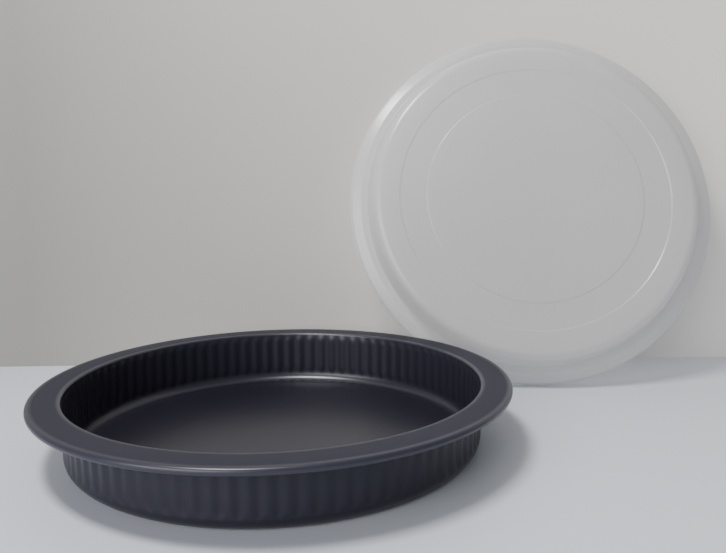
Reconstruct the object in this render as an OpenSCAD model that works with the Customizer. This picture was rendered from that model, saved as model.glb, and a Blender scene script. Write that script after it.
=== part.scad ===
// Tart pan with a flat flange and a rolled rim, and the domed lid that fits over it.
// Origin: centre of the pan's base, on the surface it stands on. +Z is up.
// The lid stands on its edge behind the pan and leans back. The shallow flutes pressed into
// the pan's wall are surface relief and are left to the looks model.

/* [Pan] */
// Diameter of the opening, at the flange's inner edge
opening_d = 280; // [240:1:320]
// Overall height of the pan
pan_h = 43; // [38:0.5:50]
// Width of the flange, from the opening to the rim's outside
flange_w = 20.7; // [18:0.1:26]
// Thickness of the coated steel sheet
sheet_t = 0.8; // [0.6:0.1:1]
// How much narrower the wall is at the bottom, per side
wall_draft = 1.2; // [0.8:0.1:3]
// Outside radius of the bend between wall and base
base_bend_r = 9; // [5:0.1:12]
// Inside radius of the bend between wall and flange
lip_bend_r = 1.7; // [1.2:0.1:3]

/* [Rolled rim] */
// Outside radius of the curl
curl_r = 2.2; // [2:0.1:3]
// Gap all round between the wire and the curl
wire_gap = 0.1; // [0.05:0.05:0.2]

/* [Lid] */
// Wall thickness of the moulded lid
lid_t = 1.2; // [1:0.1:1.6]
// Gap between the pan's rim and the lid's skirt, per side
lid_gap = 0.6; // [0.4:0.1:1.2]
// Height of the straight part of the skirt, to the sheet's middle
skirt_h = 4.6; // [4:0.1:5]
// How far the lid's edge is turned out, from the skirt's middle
edge_lip = 1.5; // [1:0.1:3]
// Height of the lid's flange above its edge
lid_flange_h = 8; // [7:0.1:9]
// How far in from the rim the lid's flange becomes level
cover_inset = 7.5; // [6:0.1:10]
// How far in from the rim the dome's wall starts
dome_inset = 13.7; // [12.5:0.1:18]
// How much the dome's wall slopes in towards the top
dome_slope = 6; // [4:0.1:10]
// Overall height of the lid
lid_h = 29.5; // [24:0.1:40]
// Bend radius of the dome's shoulder
shoulder_r = 8; // [4:0.5:9]
// How far in from the rim the outer ring line lies
outer_ring_inset = 42.8; // [36:0.1:48]
// How far in from the rim the inner ring line lies
inner_ring_inset = 65.7; // [55:0.1:75]
// Depth of the band between the two ring lines
ring_step = 0.8; // [0.6:0.1:1]

/* [Where the lid leans] */
// How far the lid's lowest point is to the side of the pan's rim
lid_right = 53.5; // [48:0.1:80]
// How far the lid's lowest point is in front of the rim's rearmost point
lid_forward = 47.7; // [10:0.1:48]
// How far the lid leans back from upright
lid_lean = 15.4; // [14:0.1:26]
// How far the lid is turned about the vertical
lid_turn = -1.8; // [-6:0.1:6]

/* [Hidden] */
$fn = 180;

pan_color = [0.20, 0.20, 0.23];
wire_color = [0.62, 0.62, 0.60];
lid_color = [0.90, 0.91, 0.93, 0.75];

// Pan, on the sheet's middle line
half_t = sheet_t / 2;
rim_r = opening_d / 2 + flange_w;
flange_z = pan_h - half_t;
wall_top_r = opening_d / 2 + half_t;
wall_foot_r = wall_top_r - wall_draft;
curl_x = rim_r - curl_r;
curl_z = pan_h - curl_r;
curl_mid_r = curl_r - half_t;
wire_r = curl_r - sheet_t - wire_gap;
wire_sides = 32;

// Short straights between the curl's quarter bends, and the end that closes on the wire
curl_flat = 0.05;
curl_end = 0.2;

// Straight steps in each bend
bend_steps = 8;

// Lid, on the sheet's middle line with the lid's edge at height 0
lid_half = lid_t / 2;
skirt_r = rim_r + lid_gap + lid_half;
lid_edge_r = skirt_r + edge_lip;
cover_r = rim_r - cover_inset;
cover_z = lid_flange_h - lid_half;
dome_foot_r = rim_r - dome_inset;
dome_top_r = dome_foot_r - dome_slope;
lid_top = lid_h - lid_half;
band_z = lid_top - ring_step;
outer_ring_r = rim_r - outer_ring_inset;
inner_ring_r = rim_r - inner_ring_inset;

// Width of the slope at each ring line, and the lid's bend radii from its edge to the dome's foot
ring_slope_w = 1;
edge_bend = 0.8;
skirt_bend = 2;
foot_bend = 1.2;
ring_bend = 0.8;

function unit(v) = v / norm(v);
function left_of(v) = [-v[1], v[0]];
function mid_dir(p, i) = unit(unit(p[i - 1] - p[i]) + unit(p[i + 1] - p[i]));
function half_angle(p, i) = acos(unit(p[i - 1] - p[i]) * unit(p[i + 1] - p[i])) / 2;
function bend_centre(p, r, i) = p[i] + mid_dir(p, i) * r / sin(half_angle(p, i));

// Which way the path turns at point i: 1 to the left, -1 to the right
function turn_side(p, i) = sign(left_of(p[i] - p[i - 1]) * (p[i + 1] - p[i]));

// Points of the bend at point i, on the side that lies off to the path's left
function bend_points(p, r, off, i) =
    let (c = bend_centre(p, r, i), side = turn_side(p, i), d = left_of(p[i] - p[i - 1]),
         start = atan2(d[1], d[0]) + (side > 0 ? 180 : 0),
         sweep = side * (180 - 2 * half_angle(p, i)))
    [for (k = [0 : bend_steps]) let (a = start + sweep * k / bend_steps)
        c + (r - side * off) * [cos(a), sin(a)]];

// Path p with radius r[i] at point i, moved off to its left
function side_points(p, r, off) =
    let (last = len(p) - 1, first_n = left_of(unit(p[1] - p[0])),
         last_n = left_of(unit(p[last] - p[last - 1])))
    concat([p[0] + first_n * off],
        [for (i = [1 : last - 1]) each bend_points(p, r[i], off, i)],
        [p[last] + last_n * off]);

function reversed(v) = [for (i = [len(v) - 1 : -1 : 0]) v[i]];

// A sheet of thickness t along path p, bent to middle radius r[i] at point i
module sheet(p, r, t) {
    polygon(concat(side_points(p, r, t / 2), reversed(side_points(p, r, -t / 2))));
}

// The pan is pressed from one sheet: base, wall and flange, then an edge that curls down and back
module pan_shell() {
    out_x = curl_x + curl_mid_r;
    in_x = curl_x - curl_mid_r;
    low_z = flange_z - 2 * curl_mid_r;
    path = [[0, half_t], [wall_foot_r, half_t], [wall_top_r, flange_z], [out_x, flange_z],
            [out_x, low_z], [in_x, low_z], [in_x, curl_z + curl_end]];
    curl_bend = curl_mid_r - curl_flat;
    bends = [0, base_bend_r - half_t, lip_bend_r - half_t, curl_bend, curl_bend, curl_bend, 0];
    color(pan_color) rotate_extrude() sheet(path, bends, sheet_t);
}

// Stiffening wire held in the curl
module rim_wire() {
    color(wire_color) translate([0, 0, curl_z])
        rotate_extrude() translate([curl_x, 0]) circle(r = wire_r, $fn = wire_sides);
}

// Half section of the lid: turned-out edge, skirt, level flange, dome wall, top with two ring lines
module lid_section() {
    path = [
        [lid_edge_r, lid_half], [skirt_r, lid_half], [skirt_r, skirt_h], [cover_r, cover_z],
        [dome_foot_r, cover_z], [dome_top_r, lid_top],
        [outer_ring_r + ring_slope_w, lid_top], [outer_ring_r, band_z],
        [inner_ring_r, band_z], [inner_ring_r - ring_slope_w, lid_top], [0, lid_top]];
    bends = [0, edge_bend, skirt_bend, skirt_bend, foot_bend, shoulder_r,
             ring_bend, ring_bend, ring_bend, ring_bend, 0];
    sheet(path, bends, lid_t);
}

// The lid stands on its edge behind the pan, with its outer face forward
module lid() {
    color(lid_color)
        translate([rim_r + lid_right, rim_r - lid_forward, 0])
        rotate([0, 0, lid_turn]) rotate([-lid_lean, 0, 0])
        translate([0, 0, lid_edge_r]) rotate([90, 0, 0]) rotate_extrude() lid_section();
}

pan_shell();
rim_wire();
lid();
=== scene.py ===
"""Looks of the tart pan with its domed lid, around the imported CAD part. Metres, +Z up."""
import math

import bmesh
import bpy
from mathutils import Matrix, Vector


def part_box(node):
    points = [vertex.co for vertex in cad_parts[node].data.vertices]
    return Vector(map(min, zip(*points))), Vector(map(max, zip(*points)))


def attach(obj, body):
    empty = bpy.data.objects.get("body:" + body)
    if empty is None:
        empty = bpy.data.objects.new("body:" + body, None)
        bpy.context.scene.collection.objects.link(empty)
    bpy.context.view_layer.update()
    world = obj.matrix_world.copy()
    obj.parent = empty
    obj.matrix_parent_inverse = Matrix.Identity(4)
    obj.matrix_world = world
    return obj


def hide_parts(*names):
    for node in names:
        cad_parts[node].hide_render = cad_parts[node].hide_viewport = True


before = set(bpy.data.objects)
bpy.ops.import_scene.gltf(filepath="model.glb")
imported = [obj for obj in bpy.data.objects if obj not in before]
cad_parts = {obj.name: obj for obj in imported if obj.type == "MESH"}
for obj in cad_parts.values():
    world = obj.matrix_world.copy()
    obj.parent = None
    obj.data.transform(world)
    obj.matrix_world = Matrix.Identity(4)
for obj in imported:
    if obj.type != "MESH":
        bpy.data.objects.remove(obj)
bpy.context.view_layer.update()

MM = 0.001

# A section's point nearer to the axis than this, in millimetres, becomes one vertex
ON_AXIS = 1e-6

# Straight steps in each bend
BEND_STEPS = 8

# Pan, in millimetres: same section as the CAD node, plus the pressed flutes
PAN_RADIUS = round(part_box("pan_shell")[1].x / MM, 1)
PAN_HEIGHT = round(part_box("pan_shell")[1].z / MM, 1)
OPENING_RADIUS = 140.0
SHEET = 0.8
WALL_DRAFT = 1.2
BASE_BEND = 9.0
LIP_BEND = 1.71
CURL = 2.2
CURL_FLAT = 0.05
CURL_END = 0.2
FLUTES = 90
FLUTE_DEPTH = 0.7
FLUTE_BAND = 6.0
FLUTE_FOOT = 6.8
FOOT_ROUND = 3.0
FOOT_FADE = 5.0
LIP_FADE = (7.0, 1.2)
STEPS_PER_FLUTE = 12
WALL_FROM, WALL_TO = OPENING_RADIUS - 8, OPENING_RADIUS + 5
WALL_STEP = 1.6
FLAT_STEP = 45.0

# Lid, in millimetres: half section from the edge to the middle, and how it stands
LID_SHEET = 1.2
LID_HEIGHT = 29.5
LID_GAP = 0.6
SKIRT_HEIGHT = 4.6
EDGE_LIP = 1.5
LID_FLANGE = 8.0
COVER_INSET = 7.5
DOME_INSET = 13.7
DOME_SLOPE = 6.0
OUTER_RING_INSET = 42.8
INNER_RING_INSET = 65.7
RING_DEPTH = 0.8
RING_SLOPE = 1.0
EDGE_BEND = 0.8
SKIRT_BEND = 2.0
FOOT_BEND = 1.2
SHOULDER_BEND = 8.0
RING_BEND = 0.8
LID_FOOT = Vector((214.2, 113.0, 0.0))
LID_LEAN = math.radians(15.4)
LID_TURN = math.radians(-1.8)
LID_COLUMNS = 360
LID_STEP = 12.0

# Stage, in metres: the floor lies just under the pan's base, the wall just behind the lid, and
# both carry painted shade that makes them grow paler from left to right
FLOOR_Z = -0.0001
BASE_HOLE = 0.122
WALL_GAP = 0.003
PAINTED_SHADE_FROM, PAINTED_SHADE_TO = -0.27, 0.45

# Camera, in millimetres and degrees
CAMERA_AT = Vector((53.8, -469.9, 171.8))
CAMERA_YAW = 0.02
CAMERA_PITCH = 3.64
CAMERA_ROLL = -0.79
CAMERA_LENS = 33.74
CAMERA_SHIFT = (0.0145, -0.0593)


# ---------------------------------------------------------------- sections and meshes

def bend_points(a, b, c, radius, offset, steps):
    """Points round the corner b of the path a-b-c, moved to the left of the path by offset."""
    back, ahead = (a - b).normalized(), (c - b).normalized()
    half = math.acos(max(-1.0, min(1.0, back.dot(ahead)))) / 2
    centre = b + (back + ahead).normalized() * radius / math.sin(half)
    way = b - a
    side = math.copysign(1.0, way.x * (c - b).y - way.y * (c - b).x)
    start = math.atan2(way.x, -way.y) + (math.pi if side > 0 else 0.0)
    sweep = side * (math.pi - 2 * half)
    reach = radius - side * offset
    angles = [start + sweep * k / steps for k in range(steps + 1)]
    return [centre + reach * Vector((math.cos(t), math.sin(t))) for t in angles]


def side_points(path, radii, offset, steps):
    """The bent path moved to its left by offset."""
    first, last = (path[1] - path[0]).normalized(), (path[-1] - path[-2]).normalized()
    points = [path[0] + offset * Vector((-first.y, first.x))]
    for i in range(1, len(path) - 1):
        points += bend_points(path[i - 1], path[i], path[i + 1], radii[i], offset, steps)
    points.append(path[-1] + offset * Vector((-last.y, last.x)))
    return points


def refined(points, step):
    """The same line, each span cut into parts no longer than step(start, end) gives."""
    out = [points[0]]
    for p, q in zip(points, points[1:]):
        n = max(1, math.ceil((q - p).length / step(p, q)))
        out += [p.lerp(q, k / n) for k in range(1, n + 1)]
    return out


def closed_section(path, radii, thickness, steps, step):
    """Both faces of a bent sheet as one line: out along one face and back along the other."""
    left = refined(side_points(path, radii, thickness / 2, steps), step)
    right = refined(side_points(path, radii, -thickness / 2, steps), step)
    return left + right[::-1]


def turned_mesh(name, section, columns, place, shift=None):
    """Turns a section, both ends of which lie on the axis, into a closed surface.

    place maps (x, y, z) to the row frame, and shift(r, z, angle) moves a point out from the axis.
    """
    verts, faces, rings = [], [], []
    for point in section:
        if point.x < ON_AXIS:
            rings.append([len(verts)])
            verts.append(place(0.0, 0.0, point.y))
            continue
        ring = []
        for k in range(columns):
            angle = 2 * math.pi * k / columns
            r = point.x + (shift(point.x, point.y, angle) if shift else 0.0)
            ring.append(len(verts))
            verts.append(place(r * math.cos(angle), r * math.sin(angle), point.y))
        rings.append(ring)
    for low, high in zip(rings, rings[1:]):
        for k in range(columns):
            n = (k + 1) % columns
            if len(low) == 1 and len(high) == 1:
                continue
            if len(low) == 1:
                faces.append((low[0], high[k], high[n]))
            elif len(high) == 1:
                faces.append((low[n], low[k], high[0]))
            else:
                faces.append((low[k], high[k], high[n], low[n]))
    mesh = bpy.data.meshes.new(name)
    mesh.from_pydata(verts, [], faces)
    mesh.update()
    obj = bpy.data.objects.new(name, mesh)
    bpy.context.scene.collection.objects.link(obj)
    for polygon in mesh.polygons:
        polygon.use_smooth = True
    fix_normals(obj)
    return obj


def fix_normals(obj):
    """Turns every face outwards."""
    work = bmesh.new()
    work.from_mesh(obj.data)
    bmesh.ops.recalc_face_normals(work, faces=work.faces)
    work.to_mesh(obj.data)
    work.free()


def smooth(low, high, x):
    t = max(0.0, min(1.0, (x - low) / (high - low)))
    return t * t * (3 - 2 * t)


def flute_shift(r, z, angle):
    """How far the pressed flutes push the wall in, with U-shaped feet and a fade at the flange."""
    if abs(r - OPENING_RADIUS) > FLUTE_BAND:
        return 0.0
    wave = 0.5 + 0.5 * math.cos(FLUTES * angle)
    foot = smooth(0.0, FOOT_FADE, z - FLUTE_FOOT - FOOT_ROUND * (1 - wave))
    lip = 1.0 - smooth(PAN_HEIGHT - LIP_FADE[0], PAN_HEIGHT - LIP_FADE[1], z)
    return -FLUTE_DEPTH * wave * foot * lip


def build_pan():
    half = SHEET / 2
    wall_top = OPENING_RADIUS + half
    wall_foot = wall_top - WALL_DRAFT
    level = PAN_HEIGHT - half
    curl_x = PAN_RADIUS - CURL
    mid = CURL - half
    path = [Vector(p) for p in (
        (0, half), (wall_foot, half), (wall_top, level), (curl_x + mid, level),
        (curl_x + mid, level - 2 * mid), (curl_x - mid, level - 2 * mid),
        (curl_x - mid, PAN_HEIGHT - CURL + CURL_END))]
    curl = mid - CURL_FLAT
    radii = [0, BASE_BEND - half, LIP_BEND - half, curl, curl, curl, 0]

    def step(p, q):
        near_wall = min(p.x, q.x) > WALL_FROM and max(p.x, q.x) < WALL_TO
        return WALL_STEP if near_wall else FLAT_STEP

    section = closed_section(path, radii, SHEET, BEND_STEPS, step)
    return turned_mesh("pan_pressed", section, FLUTES * STEPS_PER_FLUTE,
                       lambda x, y, z: (x * MM, y * MM, z * MM), flute_shift)


def lid_place(edge):
    """Maps the lid's own frame, whose third axis runs out of the lid's outer face, to the row frame."""
    stand = Matrix.Rotation(LID_TURN, 3, "Z") @ Matrix.Rotation(-LID_LEAN, 3, "X")
    return lambda x, y, z: (LID_FOOT + stand @ Vector((x, -z, y + edge))) * MM


def build_lid():
    half = LID_SHEET / 2
    skirt = PAN_RADIUS + LID_GAP + half
    edge = skirt + EDGE_LIP
    cover, dome = PAN_RADIUS - COVER_INSET, PAN_RADIUS - DOME_INSET
    level, top = LID_FLANGE - half, LID_HEIGHT - half
    outer, inner = PAN_RADIUS - OUTER_RING_INSET, PAN_RADIUS - INNER_RING_INSET
    path = [Vector(p) for p in (
        (edge, half), (skirt, half), (skirt, SKIRT_HEIGHT), (cover, level), (dome, level),
        (dome - DOME_SLOPE, top), (outer + RING_SLOPE, top), (outer, top - RING_DEPTH),
        (inner, top - RING_DEPTH), (inner - RING_SLOPE, top), (0, top))]
    radii = [0, EDGE_BEND, SKIRT_BEND, SKIRT_BEND, FOOT_BEND, SHOULDER_BEND]
    radii += [RING_BEND] * 4 + [0]
    path.reverse()
    radii.reverse()
    section = closed_section(path, radii, LID_SHEET, BEND_STEPS, lambda p, q: LID_STEP)
    return turned_mesh("lid_moulded", section, LID_COLUMNS, lid_place(edge))


# ---------------------------------------------------------------- materials

class Nodes:
    """Short names for building one node material."""

    def __init__(self, name):
        self.material = bpy.data.materials.new(name)
        self.material.use_nodes = True
        self.tree = self.material.node_tree
        self.tree.nodes.clear()
        self.out = self.add("ShaderNodeOutputMaterial")

    def add(self, kind, **values):
        node = self.tree.nodes.new(kind)
        for key, value in values.items():
            setattr(node, key, value)
        return node

    def link(self, source, target):
        self.tree.links.new(source, target)

    def coords(self):
        return self.add("ShaderNodeTexCoord").outputs["Object"]

    def noise(self, scale, detail=3.0):
        node = self.add("ShaderNodeTexNoise")
        node.inputs["Scale"].default_value = scale
        node.inputs["Detail"].default_value = detail
        self.link(self.coords(), node.inputs["Vector"])
        return node.outputs["Fac"]

    def ramp(self, source, low, high, stops=(0.35, 0.65)):
        """The colour low below the first stop, high above the second, and a blend between them."""
        node = self.add("ShaderNodeValToRGB")
        node.color_ramp.elements[0].position = stops[0]
        node.color_ramp.elements[1].position = stops[1]
        node.color_ramp.elements[0].color = (*low, 1)
        node.color_ramp.elements[1].color = (*high, 1)
        self.link(source, node.inputs["Fac"])
        return node.outputs["Color"]

    def span(self, source, low, high):
        """A value from 0 to 1 stretched to run from low to high."""
        node = self.add("ShaderNodeMapRange")
        node.inputs["To Min"].default_value = low
        node.inputs["To Max"].default_value = high
        self.link(source, node.inputs["Value"])
        return node.outputs["Result"]

    def along(self, axis, low, high):
        """0 to 1 between two places along X, Y or Z, or out from the Z axis for "R"."""
        split = self.add("ShaderNodeSeparateXYZ")
        self.link(self.coords(), split.inputs["Vector"])
        if axis == "R":
            flat = self.add("ShaderNodeCombineXYZ")
            self.link(split.outputs["X"], flat.inputs["X"])
            self.link(split.outputs["Y"], flat.inputs["Y"])
            length = self.add("ShaderNodeVectorMath", operation="LENGTH")
            self.link(flat.outputs["Vector"], length.inputs[0])
            place = length.outputs["Value"]
        else:
            place = split.outputs[axis]
        node = self.add("ShaderNodeMapRange")
        node.inputs["From Min"].default_value = low
        node.inputs["From Max"].default_value = high
        self.link(place, node.inputs["Value"])
        return node.outputs["Result"]

    def sum(self, total, *others):
        """The sum of two or more values."""
        for other in others:
            node = self.add("ShaderNodeMath", operation="ADD")
            self.link(total, node.inputs[0])
            self.link(other, node.inputs[1])
            total = node.outputs["Value"]
        return total

    def mixed(self, share, first, second):
        node = self.add("ShaderNodeMixShader")
        node.inputs["Fac"].default_value = share
        self.link(first, node.inputs[1])
        self.link(second, node.inputs[2])
        return node.outputs["Shader"]

    def bump(self, source, strength, distance):
        node = self.add("ShaderNodeBump")
        node.inputs["Strength"].default_value = strength
        node.inputs["Distance"].default_value = distance
        self.link(source, node.inputs["Height"])
        return node.outputs["Normal"]

    def principled(self, color, roughness, normal=None, **values):
        node = self.add("ShaderNodeBsdfPrincipled")
        self.link(color, node.inputs["Base Color"])
        self.link(roughness, node.inputs["Roughness"])
        if normal:
            self.link(normal, node.inputs["Normal"])
        for key, value in values.items():
            node.inputs[key.replace("_", " ")].default_value = value
        return node.outputs["BSDF"]

    def done(self, shader):
        self.link(shader, self.out.inputs["Surface"])
        return self.material


def coating_material():
    """Satin dark grey non-stick coating, slightly blue, with a fine spray texture.

    The wall is duller than the floor and its bend, and the flange is the roughest part. The coating has
    a dark copy of its colour inside the opening and a lighter one outside: painted shade in the pan's
    hollow.
    """
    m = Nodes("anthracite_coating")
    cloud = m.noise(9.0)
    grain = m.noise(2600.0, 2.0)
    lip, rim, top = OPENING_RADIUS * MM, PAN_RADIUS * MM, PAN_HEIGHT * MM
    # Painted shade: a darker colour inside the opening than outside, from the radial mask; the cloud
    # adds random tone
    painted_inner_shade_and_cloud = m.sum(m.along("R", lip - 0.0015, lip + 0.0015), m.span(cloud, -0.1, 0.1))
    color = m.ramp(painted_inner_shade_and_cloud, (0.0104, 0.0094, 0.0170), (0.0225, 0.0228, 0.0340), (0.0, 1.0))
    flange = m.along("R", lip + 0.0012, lip + 0.0035)
    curl = m.along("R", rim - 0.0045, rim - 0.0019)
    under_lip = m.span(m.along("Z", top - 0.0055, top - 0.0025), 0.0, -1.0)
    wall = m.sum(m.along("Z", 0.005, 0.009), under_lip)
    rougher = m.sum(m.span(flange, 0.0, 0.25), m.span(curl, 0.0, -0.23), m.span(wall, 0.0, 0.13))
    duller = m.sum(m.span(flange, 0.0, -0.57), m.span(curl, 0.0, 0.42), m.span(wall, 0.0, -0.36))
    roughness = m.sum(m.span(cloud, 0.27, 0.32), rougher)
    normal = m.bump(grain, 0.20, 0.00006)
    shader = m.principled(color, roughness, normal, IOR=1.45, Specular_Tint=(0.92, 0.92, 1.0, 1))
    m.link(m.sum(m.span(cloud, 0.72, 0.76), duller), shader.node.inputs["Specular IOR Level"])
    return m.done(shader)


def wire_material():
    m = Nodes("drawn_wire")
    streak = m.noise(900.0)
    return m.done(m.principled(m.ramp(streak, (0.50, 0.50, 0.49), (0.62, 0.62, 0.60)),
                               m.span(streak, 0.28, 0.4), Metallic=1.0))


def lid_material():
    """Milky plastic: part of the light goes through and comes out soft on the other side."""
    m = Nodes("milky_plastic")
    cloud = m.noise(7.0)
    grain = m.noise(1500.0, 2.0)
    color = m.ramp(cloud, (0.82, 0.82, 0.83), (0.85, 0.85, 0.86))
    normal = m.bump(grain, 0.05, 0.00003)
    skin = m.principled(color, m.span(cloud, 0.20, 0.26), normal, IOR=1.8, Specular_IOR_Level=0.8)
    through = m.add("ShaderNodeBsdfTranslucent")
    m.link(color, through.inputs["Color"])
    clear = m.add("ShaderNodeBsdfTransparent")
    milk = m.mixed(0.62, skin, through.outputs["BSDF"])
    return m.done(m.mixed(0.33, milk, clear.outputs["BSDF"]))


def backdrop_material(name, low, high, roughness, hole=0.0):
    """Pale paint that is clear from behind and so hides nothing, made a little darker to the left by
    painted shade.

    Within the hole's radius, hidden under the pan's base, it is clear from both sides.
    """
    m = Nodes(name)
    cloud = m.noise(4.0)
    # Painted shade: the colour runs from the darker low colour on the left to the paler high colour on
    # the right
    place = m.sum(m.along("X", PAINTED_SHADE_FROM, PAINTED_SHADE_TO), m.span(cloud, -0.03, 0.03))
    front = m.principled(m.ramp(place, low, high, (0.0, 1.0)), m.span(cloud, *roughness))
    mix = m.add("ShaderNodeMixShader")
    clear = m.add("ShaderNodeMath", operation="MAXIMUM")
    clear.inputs[1].default_value = 0.0
    m.link(m.add("ShaderNodeNewGeometry").outputs["Backfacing"], clear.inputs[0])
    if hole:
        m.link(m.span(m.along("R", hole, hole + MM), 1.0, 0.0), clear.inputs[1])
    m.link(clear.outputs["Value"], mix.inputs["Fac"])
    m.link(front, mix.inputs[1])
    m.link(m.add("ShaderNodeBsdfTransparent").outputs["BSDF"], mix.inputs[2])
    return m.done(mix.outputs["Shader"])


# ---------------------------------------------------------------- stage, light and camera

def plane(name, corners, material):
    mesh = bpy.data.meshes.new(name)
    mesh.from_pydata([Vector(c) for c in corners], [], [(0, 1, 2, 3)])
    obj = bpy.data.objects.new(name, mesh)
    bpy.context.scene.collection.objects.link(obj)
    mesh.materials.append(material)


def build_stage(wall_y):
    far, side, top = 4.0, 2.2, 1.6
    floor = ((-far, -far, FLOOR_Z), (far, -far, FLOOR_Z), (far, far, FLOOR_Z), (-far, far, FLOOR_Z))
    wall = ((-side, wall_y, FLOOR_Z), (side, wall_y, FLOOR_Z), (side, wall_y, top), (-side, wall_y, top))
    # The low colours are the painted shade on the left, the high ones the paler right
    plane("floor", floor, backdrop_material("pale_floor", (0.565, 0.60, 0.675), (0.66, 0.69, 0.75),
                                            roughness=(0.42, 0.5), hole=BASE_HOLE))
    plane("wall", wall, backdrop_material("pale_wall", (0.255, 0.247, 0.237), (0.82, 0.80, 0.765),
                                          roughness=(0.6, 0.7)))


def area_light(name, at, target, size, watts, color):
    data = bpy.data.lights.new(name, "AREA")
    data.shape = "RECTANGLE"
    data.size, data.size_y = size
    data.energy = watts
    data.color = color
    obj = bpy.data.objects.new(name, data)
    bpy.context.scene.collection.objects.link(obj)
    obj.location = at
    obj.rotation_euler = (Vector(target) - Vector(at)).to_track_quat("-Z", "Y").to_euler()


def build_lights():
    world = bpy.data.worlds.new("studio")
    bpy.context.scene.world = world
    world.use_nodes = True
    background = world.node_tree.nodes["Background"]
    background.inputs["Color"].default_value = (0.94, 0.96, 1.0, 1)
    background.inputs["Strength"].default_value = 0.30
    area_light("ceiling", at=(-0.28, -0.33, 1.15), target=(0.05, 0.0, 0.0), size=(0.34, 0.18),
               watts=14.0, color=(1.0, 0.985, 0.965))
    area_light("front", at=(-0.88, -1.28, 0.62), target=(0.08, 0.08, 0.06), size=(1.3, 0.9),
               watts=22.0, color=(1.0, 0.99, 0.975))


def build_camera():
    data = bpy.data.cameras.new("camera")
    data.sensor_width = 36.0
    data.lens = CAMERA_LENS
    data.shift_x, data.shift_y = CAMERA_SHIFT
    data.clip_start, data.clip_end = 0.01, 30.0
    camera = bpy.data.objects.new("camera", data)
    bpy.context.scene.collection.objects.link(camera)
    yaw, pitch, roll = (math.radians(a) for a in (CAMERA_YAW, CAMERA_PITCH, CAMERA_ROLL))
    ahead = Vector((math.sin(yaw) * math.cos(pitch), math.cos(yaw) * math.cos(pitch), -math.sin(pitch)))
    right = Vector((math.cos(yaw), -math.sin(yaw), 0.0))
    up = right.cross(ahead)
    level_right = math.cos(roll) * right + math.sin(roll) * up
    level_up = -math.sin(roll) * right + math.cos(roll) * up
    matrix = Matrix((level_right, level_up, -ahead)).transposed().to_4x4()
    matrix.translation = CAMERA_AT * MM
    camera.matrix_world = matrix
    bpy.context.scene.camera = camera


def set_material(obj, material):
    obj.data.materials.clear()
    obj.data.materials.append(material)


coating, plastic = coating_material(), lid_material()
pan = build_pan()
set_material(pan, coating)
set_material(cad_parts["pan_shell"], coating)
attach(pan, "pan")
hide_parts("pan_shell")

lid = build_lid()
set_material(lid, plastic)
set_material(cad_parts["lid"], plastic)
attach(lid, "lid")
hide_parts("lid")

set_material(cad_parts["rim_wire"], wire_material())

build_stage(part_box("lid")[1].y + WALL_GAP)
build_lights()
build_camera()
